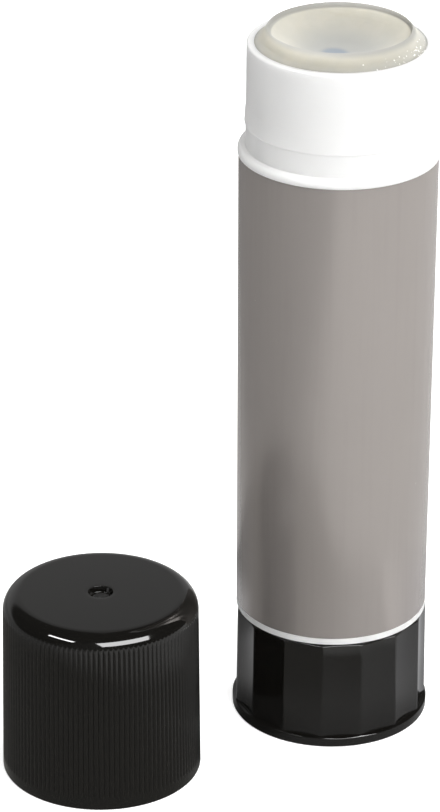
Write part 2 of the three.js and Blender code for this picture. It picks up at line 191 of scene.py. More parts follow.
def level_distance(tree: Tree, place: Node, x_mm: float = 0.0, y_mm: float = 0.0) -> Socket:
    """Measure the level distance from an upright axis.

    Args:
        tree: the material's node tree.
        place: Object coordinates in millimetres.
        x_mm: where the axis stands along X.
        y_mm: where the axis stands along Y.

    Returns:
        The distance socket, in millimetres.
    """
    level = {"Vector": place, "Location": (-x_mm, -y_mm, 0.0), "Scale": (1.0, 1.0, 0.0)}
    across = add_node(tree, "ShaderNodeMapping", level)
    return add_node(tree, "ShaderNodeVectorMath", (across,), operation="LENGTH").outputs["Value"]


def coated(tree: Tree, ground: Colour | Socket, *coats: tuple[Node | Socket, Colour | Socket]) -> Socket:
    """Lay colours over a ground, one after the other.

    Args:
        tree: the material's node tree.
        ground: the colour under the coats.
        coats: for each coat, the mask that is 1 where the coat covers, and the coat's colour.

    Returns:
        The colour socket.
    """
    for mask, colour in coats:
        mix = add_node(tree, "ShaderNodeMix", {0: mask, 6: ground, 7: colour}, data_type="RGBA")
        ground = mix.outputs[2]
    return ground


def specks(tree: Tree, place: Node, spacing_mm: float, speck_mm: float, share: float) -> Node:
    """Give scattered round specks, in some of the cells of a jittered lattice.

    Args:
        tree: the material's node tree.
        place: Object coordinates in millimetres.
        spacing_mm: the size of a cell.
        speck_mm: a speck's diameter.
        share: the share of the cells that hold one.

    Returns:
        The node whose output is 1 inside a speck and 0 elsewhere.
    """
    cells = add_node(tree, "ShaderNodeTexVoronoi", {"Vector": place, "Scale": 1.0 / spacing_mm})
    edge = 0.5 * speck_mm / spacing_mm
    full = 0.6 * edge
    inside = add_node(tree, "ShaderNodeMapRange", (cells.outputs["Distance"], edge, full), **SMOOTH)
    chance = add_node(tree, "ShaderNodeSeparateColor", (cells.outputs["Color"],))
    chosen = add_node(tree, "ShaderNodeMath", (chance.outputs["Red"], share), operation="LESS_THAN")
    return add_node(tree, "ShaderNodeMath", (inside, chosen), operation="MULTIPLY")


@dataclass(frozen=True)
class Finish:
    """A finish made with one Principled shader, whose inputs each kind of material gives."""

    name: str

    def build(self, centre: Vector) -> bpy.types.Material:
        """Make the material.

        Args:
            centre: the point, in metres, that the patterns are counted from.

        Returns:
            The material.
        """
        material = blank_material(self.name)
        tree = material.node_tree
        inputs = self.surface(tree, object_coordinates(tree, centre))
        shader = add_node(tree, "ShaderNodeBsdfPrincipled", inputs)
        add_node(tree, "ShaderNodeOutputMaterial", (shader,))
        return material

    def surface(self, tree: Tree, place: Node) -> Inputs:
        """Give the shader's inputs.

        Args:
            tree: the material's node tree.
            place: Object coordinates in millimetres.

        Returns:
            What each input of the shader holds or is fed by.
        """
        raise NotImplementedError


@dataclass(frozen=True)
class GlossBlackStyrene(Finish):
    """Injection-moulded black polystyrene, polished in the mould, which mirrors the room like dark glass."""

    colour: str = "#100f0d"
    dust: str = "#8d8b88"
    roughness: float = 0.05
    haze_roughness: float = 0.10
    haze_band: Point = (0.35, 0.75)
    haze_mm: float = 7.0
    ripple_mm: float = 2.4
    ripple_depth_mm: float = 0.0006
    dust_spacing_mm: float = 2.6
    dust_mm: float = 0.16
    dust_share: float = 0.05

    def surface(self, tree: Tree, place: Node) -> Inputs:
        """Give a black mirror with soft haze, a slow ripple from the mould and a few grains of dust.

        Args:
            tree: the material's node tree.
            place: Object coordinates in millimetres.

        Returns:
            What each input of the shader holds or is fed by.
        """
        haze = add_node(
            tree,
            "ShaderNodeTexNoise",
            {"Vector": place, "Scale": 1.0 / self.haze_mm, "Detail": 4.0, "Roughness": FINER_SHARE},
        )
        hazed = (haze, *self.haze_band, self.roughness, self.haze_roughness)
        dust = specks(tree, place, self.dust_spacing_mm, self.dust_mm, self.dust_share)
        ripple = add_node(
            tree,
            "ShaderNodeTexNoise",
            {"Vector": place, "Scale": 1.0 / self.ripple_mm, "Detail": 1.0, "Roughness": FINER_SHARE},
        )
        relief = {"Height": ripple, "Distance": self.ripple_depth_mm * MM}
        return {
            "Base Color": coated(tree, linear(self.colour), (dust, linear(self.dust))),
            "Roughness": add_node(tree, "ShaderNodeMapRange", hazed, **SMOOTH),
            "IOR": 1.58,
            "Normal": add_node(tree, "ShaderNodeBump", relief),
        }


@dataclass(frozen=True)
class WhitePolypropylene(Finish):
    """Injection-moulded white polypropylene, softly glossy, with a little light passing under its skin."""

    colour: str = "#f3f3f2"
    shade: str = "#efefed"
    roughness: float = 0.36
    roughness_spread: float = 0.04
    cloud_band: Point = (0.3, 0.7)
    cloud_mm: float = 9.0
    texture_mm: float = 0.5
    texture_depth_mm: float = 0.0012
    draw_mm: float = 0.35
    draw_stretch: float = 0.03
    draw_depth_mm: float = 0.001
    glow: float = 0.65
    glow_mm: float = 3.0

    def surface(self, tree: Tree, place: Node) -> Inputs:
        """Give a soft white with faint upright lines from leaving the mould and a fine grain over them.

        Args:
            tree: the material's node tree.
            place: Object coordinates in millimetres.

        Returns:
            What each input of the shader holds or is fed by.
        """
        cloud = add_node(
            tree,
            "ShaderNodeTexNoise",
            {"Vector": place, "Scale": 1.0 / self.cloud_mm, "Detail": 3.0, "Roughness": FINER_SHARE},
        )
        smoothest = self.roughness - self.roughness_spread
        clouded = (cloud, *self.cloud_band, smoothest, self.roughness + self.roughness_spread)
        upright = add_node(
            tree, "ShaderNodeMapping", {"Vector": place, "Scale": (1.0, 1.0, self.draw_stretch)}
        )
        draw = add_node(
            tree,
            "ShaderNodeTexNoise",
            {"Vector": upright, "Scale": 1.0 / self.draw_mm, "Detail": 1.0, "Roughness": FINER_SHARE},
        )
        lines = add_node(tree, "ShaderNodeBump", {"Height": draw, "Distance": self.draw_depth_mm * MM})
        grain = add_node(
            tree,
            "ShaderNodeTexNoise",
            {"Vector": place, "Scale": 1.0 / self.texture_mm, "Detail": 2.0, "Roughness": FINER_SHARE},
        )
        relief = {"Height": grain, "Distance": self.texture_depth_mm * MM, "Normal": lines}
        return {
            "Base Color": coated(tree, linear(self.colour), (cloud, linear(self.shade))),
            "Roughness": add_node(tree, "ShaderNodeMapRange", clouded, **SMOOTH),
            "IOR": 1.49,
            "Subsurface Weight": self.glow,
            "Subsurface Radius": (1.0, 0.98, 0.95),
            "Subsurface Scale": self.glow_mm * MM,
            "Normal": add_node(tree, "ShaderNodeBump", relief),
        }


@dataclass(frozen=True)
class PrintedWrapFilm(Finish):
    """Polypropylene film printed in silver-grey ink under a satin varnish, wound tightly round the tube."""

    colour: str = "#a7a19d"
    mottle: str = "#a59f9b"
    metal: float = 0.5
    roughness: float = 0.24
    mottle_mm: float = 14.0
    streak: str = "#a49e9a"
    streak_mm: float = 0.7
    streak_length: float = 30.0
    streak_band: Point = (0.45, 0.8)
    print_grain_mm: float = 0.3
    fibre_depth_mm: float = 0.0008
    fleck: str = "#c6c2be"
    fleck_spacing_mm: float = 2.1
    fleck_mm: float = 0.2
    fleck_share: float = 0.06

    def surface(self, tree: Tree, place: Node) -> Inputs:
        """Give silvery ink with a slow mottle, upright streaks from the rollers and a few bright flecks.

        Args:
            tree: the material's node tree.
            place: Object coordinates in millimetres.

        Returns:
            What each input of the shader holds or is fed by.
        """
        mottle = add_node(
            tree,
            "ShaderNodeTexNoise",
            {"Vector": place, "Scale": 1.0 / self.mottle_mm, "Detail": 3.0, "Roughness": FINER_SHARE},
        )
        along = (1.0, 1.0, 1.0 / self.streak_length)
        rolled = add_node(tree, "ShaderNodeMapping", {"Vector": place, "Scale": along})
        streak = add_node(
            tree,
            "ShaderNodeTexNoise",
            {"Vector": rolled, "Scale": 1.0 / self.streak_mm, "Detail": 1.0, "Roughness": FINER_SHARE},
        )
        streaks = add_node(tree, "ShaderNodeMapRange", (streak, *self.streak_band), **SMOOTH)
        flecks = specks(tree, place, self.fleck_spacing_mm, self.fleck_mm, self.fleck_share)
        grain = add_node(
            tree,
            "ShaderNodeTexNoise",
            {"Vector": place, "Scale": 1.0 / self.print_grain_mm, "Detail": 1.0, "Roughness": FINER_SHARE},
        )
        coats = (
            (mottle, linear(self.mottle)),
            (streaks, linear(self.streak)),
            (flecks, linear(self.fleck)),
        )
        relief = {"Height": grain, "Distance": self.fibre_depth_mm * MM}
        return {
            "Base Color": coated(tree, linear(self.colour), *coats),
            "Metallic": self.metal,
            "Roughness": self.roughness,
            "IOR": 1.5,
            "Normal": add_node(tree, "ShaderNodeBump", relief),
        }


@dataclass(frozen=True)
class NaturalPolypropylene(Finish):
    """Uncoloured polypropylene, milky and matt, as it comes from the mould."""

    colour: str = "#e6e5df"
    cloudy: str = "#d8d7d0"
    roughness: float = 0.45
    cloud_mm: float = 4.0
    texture_mm: float = 0.4
    texture_depth_mm: float = 0.003

    def surface(self, tree: Tree, place: Node) -> Inputs:
        """Give a milky, cloudy colour and a fine matt grain.

        Args:
            tree: the material's node tree.
            place: Object coordinates in millimetres.

        Returns:
            What each input of the shader holds or is fed by.
        """
        cloud = add_node(
            tree,
            "ShaderNodeTexNoise",
            {"Vector": place, "Scale": 1.0 / self.cloud_mm, "Detail": 3.0, "Roughness": FINER_SHARE},
        )
        grain = add_node(
            tree,
            "ShaderNodeTexNoise",
            {"Vector": place, "Scale": 1.0 / self.texture_mm, "Detail": 2.0, "Roughness": FINER_SHARE},
        )
        relief = {"Height": grain, "Distance": self.texture_depth_mm * MM}
        return {
            "Base Color": coated(tree, linear(self.colour), (cloud, linear(self.cloudy))),
            "Roughness": self.roughness,
            "IOR": 1.49,
            "Normal": add_node(tree, "ShaderNodeBump", relief),
        }


@dataclass(frozen=True)
class ClearGlueGel(Finish):
    """Soap-based glue gel: moist, cloudy and translucent, with the black spindle's tip showing through.

    The bands of the painted shade in the bowl, of the painted shade on the wall and lip, and of the tip are
    distances in millimetres from the axis, or from the tip's own axis, and run from where a zone starts to
    where it is reached in full.
    """

    colour: str = "#bebbb0"
    cloudy: str = "#b8b6ac"
    # Painted shade: grey laid over the bowl, darker towards its middle.
    bowl_shade: str = "#a5a5a1"
    bowl_shade_band: Point = (7.8, 3.0)
    # Painted shade: grey laid on the dish's inner wall and over its lip; the same band also lowers the
    # subsurface glow.
    wall: str = "#a6a59f"
    wall_shade_inner_band: Point = (8.6, 8.8)
    wall_shade_outer_band: Point = (9.6, 9.1)
    tip: str = "#8f969d"
    tip_band: Point = (2.1, 1.0)
    tip_drift_mm: float = -0.7
    roughness: float = 0.3
    moisture: float = 0.05
    upward: float = 0.96
    cloud_band: Point = (0.3, 0.7)
    cloud_mm: float = 3.2
    skin_mm: float = 0.9
    skin_depth_mm: float = 0.012
    glow: float = 0.95
    thin_glow: float = 0.36
    glow_mm: float = 6.0
    bubble: str = "#8f8d84"
    bubble_spacing_mm: float = 2.3
    bubble_mm: float = 0.3
    bubble_share: float = 0.12

    def surface(self, tree: Tree, place: Node) -> Inputs:
        """Give a cloudy gel with small bubbles, with painted shade in its bowl and on its wall and lip, and
        greyer over the spindle's tip.

        Args:
            tree: the material's node tree.
            place: Object coordinates in millimetres, counted from the middle of the dish's rim.

        Returns:
            What each input of the shader holds or is fed by.
        """
        cloud = add_node(
            tree,
            "ShaderNodeTexNoise",
            {"Vector": place, "Scale": 1.0 / self.cloud_mm, "Detail": 3.0, "Roughness": FINER_SHARE},
        )
        milk = add_node(tree, "ShaderNodeMapRange", (cloud, *self.cloud_band), **SMOOTH)
        bubbles = specks(tree, place, self.bubble_spacing_mm, self.bubble_mm, self.bubble_share)
        from_axis = level_distance(tree, place)
        from_tip = level_distance(tree, place, self.tip_drift_mm)
        # Painted shade in the bowl, darker towards the axis.
        bowl_shade = add_node(tree, "ShaderNodeMapRange", (from_axis, *self.bowl_shade_band), **SMOOTH)
        # Painted shade on the inner wall and the lip, between the inner and outer bands.
        inner = add_node(tree, "ShaderNodeMapRange", (from_axis, *self.wall_shade_inner_band), **SMOOTH)
        outer = add_node(tree, "ShaderNodeMapRange", (from_axis, *self.wall_shade_outer_band), **SMOOTH)
        wall = add_node(tree, "ShaderNodeMath", (inner, outer), operation="MULTIPLY")
        tip = add_node(tree, "ShaderNodeMapRange", (from_tip, *self.tip_band), **SMOOTH)
        coats = (
            (milk, linear(self.cloudy)),
            (bubbles, linear(self.bubble)),
            (bowl_shade, linear(self.bowl_shade)),
            (wall, linear(self.wall)),
            (tip, linear(self.tip)),
        )
        thin = add_node(tree, "ShaderNodeMath", (tip, wall), operation="MAXIMUM")
        glows = (thin, 0.0, 1.0, self.glow, min(self.glow, self.thin_glow))
        skin = add_node(
            tree,
            "ShaderNodeTexNoise",
            {"Vector": place, "Scale": 1.0 / self.skin_mm, "Detail": 3.0, "Roughness": FINER_SHARE},
        )
        relief = {"Height": skin, "Distance": self.skin_depth_mm * MM}
        return {
            "Base Color": coated(tree, linear(self.colour), *coats),
            "Roughness": self.roughness,
            "IOR": 1.42,
            "Specular IOR Level": 0.0,
            "Coat Weight": self.moisture,
            "Coat Roughness": self.roughness,
            "Coat Normal": add_node(tree, "ShaderNodeBump", relief),
            "Subsurface Weight": add_node(tree, "ShaderNodeMapRange", glows, **SMOOTH),
            "Subsurface Radius": (1.0, 0.95, 0.85),
            "Subsurface Scale": self.glow_mm * MM,
            "Normal": add_node(tree, "ShaderNodeBump", {**relief, "Normal": self._softened(tree)}),
        }

    def _softened(self, tree: Tree) -> Node:
        """Turn the normals towards the top, as light that spreads through the gel evens out its slopes.

        Args:
            tree: the material's node tree.

        Returns:
            The node whose output is the normal.
        """
        texture = add_node(tree, "ShaderNodeTexCoord")
        share = 1.0 - self.upward
        leaning = add_node(
            tree,
            "ShaderNodeVectorMath",
            (texture.outputs["Normal"], (share, share, share), (0.0, 0.0, self.upward)),
            operation="MULTIPLY_ADD",
        )
        return add_node(
            tree,
            "ShaderNodeVectorTransform",
            (leaning,),
            vector_type="NORMAL",
            convert_from="OBJECT",
            convert_to="WORLD",
        )


def rounded(corners: Sequence[Corner], steps: int = 5, closed: bool = False) -> list[Point]:
    """Round an outline's corners.

    Args:
        corners: radius, height and rounding of each corner, in millimetres.
        steps: how many edges a rounding has.
        closed: whether the last corner joins the first.

    Returns:
        The outline's points in millimetres.
    """
    points: list[Point] = []
    count = len(corners)
    for number, (radius, height, rounding) in enumerate(corners):
        at_end = not closed and number in (0, count - 1)
        if rounding == 0.0 or at_end:
            points.append((radius, height))
            continue
        corner = Vector((radius, height))
        before = Vector(corners[number - 1][:2]) - corner
        after = Vector(corners[(number + 1) % count][:2]) - corner
        reach = rounding / math.tan(0.5 * before.angle(after))
        start = corner + before.normalized() * reach
        end = corner + after.normalized() * reach
        for step in range(steps + 1):
            share = step / steps
            bent = start.lerp(corner, share).lerp(corner.lerp(end, share), share)
            points.append((bent.x, bent.y))
    return points


def turned(
    outline: Sequence[Point],
    steps: int,
    centre: Vector,
    start: float = 0.0,
    closed: bool = False,
    reshape: Reshape | None = None,
) -> Mesh:
    """Spin an outline about a vertical axis.

    Args:
        outline: radius and height of each point, in millimetres.
        steps: how many facets a turn has.
        centre: a point on the axis, in metres.
        start: the angle of the first column, in radians.
        closed: whether the last point joins the first.
        reshape: gives a point's new radius from its radius, angle and height, in millimetres and radians.

    Returns:
        The mesh, with its faces outwards.
    """
    mesh = bmesh.new()
    points = [mesh.verts.new((0.0, -radius, height)) for radius, height in outline]
    pairs = list(zip(points, points[1:]))
    if closed:
        pairs.append((points[-1], points[0]))
    edges = [mesh.edges.new(pair) for pair in pairs]
    bmesh.ops.rotate(mesh, verts=points, cent=(0, 0, 0), matrix=Matrix.Rotation(start, 3, "Z"))
    bmesh.ops.spin(
        mesh,
        geom=points + edges,
        cent=(0, 0, 0),
        axis=(0, 0, 1),
        dvec=(0, 0, 0),
        angle=FULL_TURN,
        steps=steps,
        use_merge=True,
        use_normal_flip=False,
        use_duplicate=False,
    )
    bmesh.ops.remove_doubles(mesh, verts=mesh.verts, dist=1e-4)
    bmesh.ops.recalc_face_normals(mesh, faces=mesh.faces)
    if reshape is not None:
        for vert in mesh.verts:
            radius = math.hypot(vert.co.x, vert.co.y)
            if radius > 0.0:
                scale = reshape(radius, math.atan2(vert.co.x, -vert.co.y), vert.co.z) / radius
                vert.co.x *= scale
                vert.co.y *= scale
    bmesh.ops.scale(mesh, vec=(MM, MM, MM), verts=mesh.verts)
    bmesh.ops.translate(mesh, vec=(centre.x, centre.y, 0.0), verts=mesh.verts)
    return mesh


def place_piece(
    name: str,
    mesh: Mesh,
    material: bpy.types.Material,
    body: Body,
    stands_for: Iterable[str] = (),
    sharp_degrees: float = 38.0,
) -> bpy.types.Object:
    """Make a finished mesh an object that rides on its body.

    Args:
        name: the piece's name.
        mesh: its shape, which is used up.
        material: its finish.
        body: the body that it moves with.
        stands_for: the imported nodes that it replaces.
        sharp_degrees: edges that turn more than this stay crisp.

    Returns:
        The new object.
    """
    data = bpy.data.meshes.new(name)
    mesh.to_mesh(data)
    mesh.free()
    data.materials.append(material)
    data.shade_smooth()
    data.set_sharp_from_angle(angle=math.radians(sharp_degrees))
    piece = bpy.data.objects.new(name, data)
    bpy.context.scene.collection.objects.link(piece)
    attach(piece, body.value)
    nodes = list(stands_for)
    if nodes:
        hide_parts(*nodes)
    LOG.info("%s: %d faces, rides on %s", name, len(data.polygons), body.value)
    return piece


def smoothstep(value: float, low: float, high: float) -> float:
    """Rise smoothly from 0 at low to 1 at high."""
    share = min(1.0, max(0.0, (value - low) / (high - low)))
    return share * share * (3.0 - 2.0 * share)


@dataclass(frozen=True)
class Place:
    """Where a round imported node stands: its axis in metres, its sizes in millimetres."""

    centre: Vector
    radius: float
    bottom: float
    top: float

    @classmethod
    def of(cls, node: str) -> Place:
        """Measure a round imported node.

        Args:
            node: the node's name.

        Returns:
            Its place.
        """
        low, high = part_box(node)
        middle = 0.5 * (low + high)
        return cls(
            centre=Vector((middle.x, middle.y, 0.0)),
            radius=0.5 * (high.x - low.x) / MM,
            bottom=low.z / MM,
            top=high.z / MM,
        )


@dataclass
class Barrel:
    """The white tube with its neck, collar and bare lower ring, and the grey wrap round it."""

    neck_height: float = 13.6
    collar_height: float = 1.14
    neck_step: float = 1.02
    neck_wall: float = 0.98
    flare: float = 0.2
    bead_on_neck: float = 3.1
    bead_length: float = 2.5
    bead_proud: float = 0.15
    neck_draft: float = 0.03
    lip_rounding: float = 0.3
    inner_lip_rounding: float = 0.05
    collar_rounding: float = 0.75
    wrap_thickness: float = 0.12
    wrap_gap: float = 0.03
    foot_gap: float = 0.3
    ring_height: float = 0.87
    skirt_step: float = 2.06
    skirt_wall: float = 1.2
    floor_raise: float = 0.95
    floor_thickness: float = 1.5
    hub_bore: float = 2.9
    hub_radius: float = 4.6
    hub_length: float = 1.6
    guide_count: int = 3
    guide_width: float = 1.4
    guide_height: float = 0.5
    guide_below_rim: float = 6.0
    guide_in_floor: float = 0.3
    guide_in_wall: float = 0.4
    guide_first_angle: float = math.pi / 3.0
    seam_overlap: float = 0.12
    seam_step: float = 0.06
    facets: int = 240

    def __post_init__(self) -> None:
        """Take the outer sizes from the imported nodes."""
        self.tube = Place.of("barrel")
        self.wrap = Place.of("label")
        self.knob = Place.of("knob")
        self.neck_radius = self.tube.radius - self.neck_step
        self.bore = self.neck_radius - self.neck_wall
        self.collar_top = self.tube.top - self.neck_height
        self.bed_top = self.collar_top - self.collar_height
        self.foot = self.knob.top + self.foot_gap
        self.bed_bottom = self.foot + self.ring_height
        self.foot_radius = self.wrap.radius - self.flare

    def build(self) -> None:
        """Build and dress the tube and its wrap."""
        white = WhitePolypropylene("moulded_white_polypropylene").build(self.tube.centre)
        film = PrintedWrapFilm("printed_wrap_film").build(self.wrap.centre)
        place_piece("barrel_moulding", self._tube(), white, Body.TUBE, ["barrel"])
        place_piece("wrap_film", self._wrap(), film, Body.TUBE, ["label"])

    def _tube(self) -> Mesh:
        """Turn the tube and set the guide ribs in its bore.

        Returns:
            The tube's mesh.
        """
        mesh = turned(self._tube_outline(), self.facets, self.tube.centre, closed=True)
        low = self.foot + self.floor_raise + self.floor_thickness - self.guide_in_floor
        high = self.tube.top - self.guide_below_rim
        depth = self.guide_height + self.guide_in_wall
        middle = self.bore - self.guide_height + 0.5 * depth
        for number in range(self.guide_count):
            rib = bmesh.ops.create_cube(mesh, size=1.0)["verts"]
            size = Vector((self.guide_width, depth, high - low)) * MM
            bmesh.ops.scale(mesh, vec=size, verts=rib)
            bmesh.ops.translate(mesh, vec=Vector((0.0, -middle, 0.5 * (low + high))) * MM, verts=rib)
            angle = self.guide_first_angle + number * FULL_TURN / self.guide_count
            bmesh.ops.rotate(mesh, verts=rib, cent=(0, 0, 0), matrix=Matrix.Rotation(angle, 3, "Z"))
        return mesh

    def _tube_outline(self) -> list[Point]:
        """Draw the tube's closed outline, up its outside and down its bore.

        Returns:
            The outline's points.
        """
        skirt = self.foot_radius - self.skirt_step
        floor = self.foot + self.floor_raise
        bead = self.collar_top + self.bead_on_neck
        under_wrap = self.wrap_thickness + self.wrap_gap
        neck_foot = self.neck_radius + self.neck_draft
        neck_top = self.neck_radius - self.neck_draft
        corners = [
            (skirt - self.skirt_wall, self.tube.bottom, 0.2),
            (skirt, self.tube.bottom, 0.3),
            (skirt, self.foot, 0.0),
            (self.foot_radius, self.foot, 0.12),
            (self.foot_radius, self.bed_bottom, 0.03),
            (self.foot_radius - under_wrap, self.bed_bottom, 0.0),
            (self.wrap.radius - under_wrap, self.bed_top, 0.0),
            (self.tube.radius, self.bed_top, 0.08),
            (self.tube.radius, self.collar_top - 0.12, self.collar_rounding),
            (neck_foot, self.collar_top, 0.12),
            (neck_foot, bead - 0.22, 0.08),
            (neck_foot + self.bead_proud, bead, 0.1),
            (self.neck_radius + 0.7 * self.bead_proud, bead + 0.45 * self.bead_length, 0.8),
            (self.neck_radius, bead + self.bead_length, 2.0),
            (neck_top, self.tube.top, self.lip_rounding),
            (self.bore, self.tube.top, self.inner_lip_rounding),
            (self.bore, floor + self.floor_thickness, 0.4),
            (self.hub_bore, floor + self.floor_thickness, 0.0),
            (self.hub_bore, floor - self.hub_length, 0.0),
            (self.hub_radius, floor - self.hub_length, 0.0),
            (self.hub_radius, floor, 0.3),
            (skirt - self.skirt_wall, floor, 0.3),
        ]
        return rounded(corners, steps=6, closed=True)

    def _wrap(self) -> Mesh:
        """Turn the wrap, whose end laps over its start along a seam at the back.

        Returns:
            The wrap's mesh.
        """
        bottom = self.bed_bottom + self.wrap_gap
        top = self.bed_top - self.wrap_gap
        corners = [
            (self.foot_radius - self.wrap_thickness, bottom, 0.0),
            (self.foot_radius, bottom, 0.03),
            (self.wrap.radius, top, 0.03),
            (self.wrap.radius - self.wrap_thickness, top, 0.0),
        ]
        return turned(
            rounded(corners, steps=2, closed=True),
            self.facets,
            self.wrap.centre,
            closed=True,
            reshape=self._seamed,
        )

    def _seamed(self, radius: float, angle: float, height: float) -> float:
        """Sink the wrap's skin just beside its seam, where the end of the film lies over its start.

        Args:
            radius: the point's radius.
            angle: its angle, from -pi to pi, where the seam is at either end.
            height: its height.

        Returns:
            The new radius.
        """
        widening = self.flare * (height - self.bed_bottom) / (self.bed_top - self.bed_bottom)
        outside = radius > self.foot_radius + widening - 0.5 * self.wrap_thickness
        from_seam = math.pi - angle
        if not outside or from_seam > self.seam_overlap:
            return radius
        return radius - self.seam_step * (1.0 - from_seam / self.seam_overlap)


@dataclass
class TwistBase:
    """The black twist base with its wide scooped flutes, on the end of the spindle."""

    foot_proud: float = 0.24
    flare: float = 0.13
    flute_count: int = 15
    flute_depth: float = 0.4
    flute_phase: float = math.radians(-6.1)
    flute_softness: float = 0.04
    run_out_bottom: float = 1.25
    run_out_top: float = 1.5
    foot_rounding: float = 0.3
    ledge_rounding: float = 0.2
    pad_radius: float = 5.5
    groove_depth: float = 0.5
    foot_ring_width: float = 1.9
    wall: float = 1.45
    floor: float = 1.8
    edge_rounding: float = 0.16
    boss_radius: float = 4.4
    boss_top: float = 13.9
    facets_per_flute: int = 26

    def __post_init__(self) -> None:
        """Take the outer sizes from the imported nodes."""
        self.knob = Place.of("knob")
        self.ridge = self.knob.radius - self.foot_proud - self.flare
        self.bore = self.ridge - self.flute_depth - self.wall

    def build(self, frame: dict[str, Any]) -> None:
        """Build the twist base and dress it and the spindle.
        """
        black = GlossBlackStyrene("moulded_black_styrene").build(self.knob.centre)
        mesh = turned(
            self._outline(),
            self.flute_count * self.facets_per_flute,
            self.knob.centre,
            start=self.flute_phase,
            reshape=self._fluted,
        )
        place_piece("twist_base_moulding", mesh, black, Body.TWIST_BASE, ["knob"])
        dress(frame["nodes"]["spindle"], black)

    def _outline(self) -> list[Point]:
        """Draw the base's outline from the middle of its underside round to the top of its boss.

        Returns:
            The outline's points.
        """
        groove = self.knob.radius - self.foot_rounding - self.foot_ring_width
        foot = rounded(
            [
                (0.0, 0.0, 0.0),
                (self.pad_radius, 0.0, 0.15),
                (self.pad_radius + 0.1, self.groove_depth, 0.15),
                (groove - 0.1, self.groove_depth, 0.15),
                (groove, 0.0, 0.15),
                (self.knob.radius, 0.0, self.foot_rounding),
                (self.knob.radius, self.run_out_bottom, self.ledge_rounding),
                (self.ridge + self.flare, self.run_out_top, 0.0),
            ],
            steps=6,
        )
        out, low = foot.pop(), foot[-1]
        rows = 14
        scoop = [
            (low[0] + (out[0] - low[0]) * row / rows, low[1] + (out[1] - low[1]) * row / rows)
            for row in range(1, rows)
        ]
        top = rounded(
            [
                (self.ridge + self.flare, self.run_out_top, 0.0),
                (self.ridge, self.knob.top, self.edge_rounding),
                (self.bore, self.knob.top, self.edge_rounding),
                (self.bore, self.floor, 0.5),
                (self.boss_radius, self.floor, 0.4),
                (self.boss_radius, self.boss_top, 0.2),
                (0.0, self.boss_top, 0.0),
            ],
            steps=5,
        )
        return foot + scoop + top

    def _fluted(self, radius: float, angle: float, height: float) -> float:
        """Scoop the outer wall between the ridges, and run the scoops out in arches above the foot.

        Args:
            radius: the point's radius.
            angle: its angle.
            height: its height.

        Returns:
            The new radius.
        """
        if radius < self.bore + 0.5 * self.wall or height < self.run_out_bottom:
            return radius
        turns = (angle - self.flute_phase) * self.flute_count / FULL_TURN
        across = 2.0 * (turns - math.floor(turns)) - 1.0
        lift = 1.0 - smoothstep(height, self.run_out_bottom, self.run_out_top)
        scoop = 1.0 - across * across - lift
        softened = 0.5 * (scoop + math.hypot(scoop, self.flute_softness))
        return radius - self.flute_depth * softened


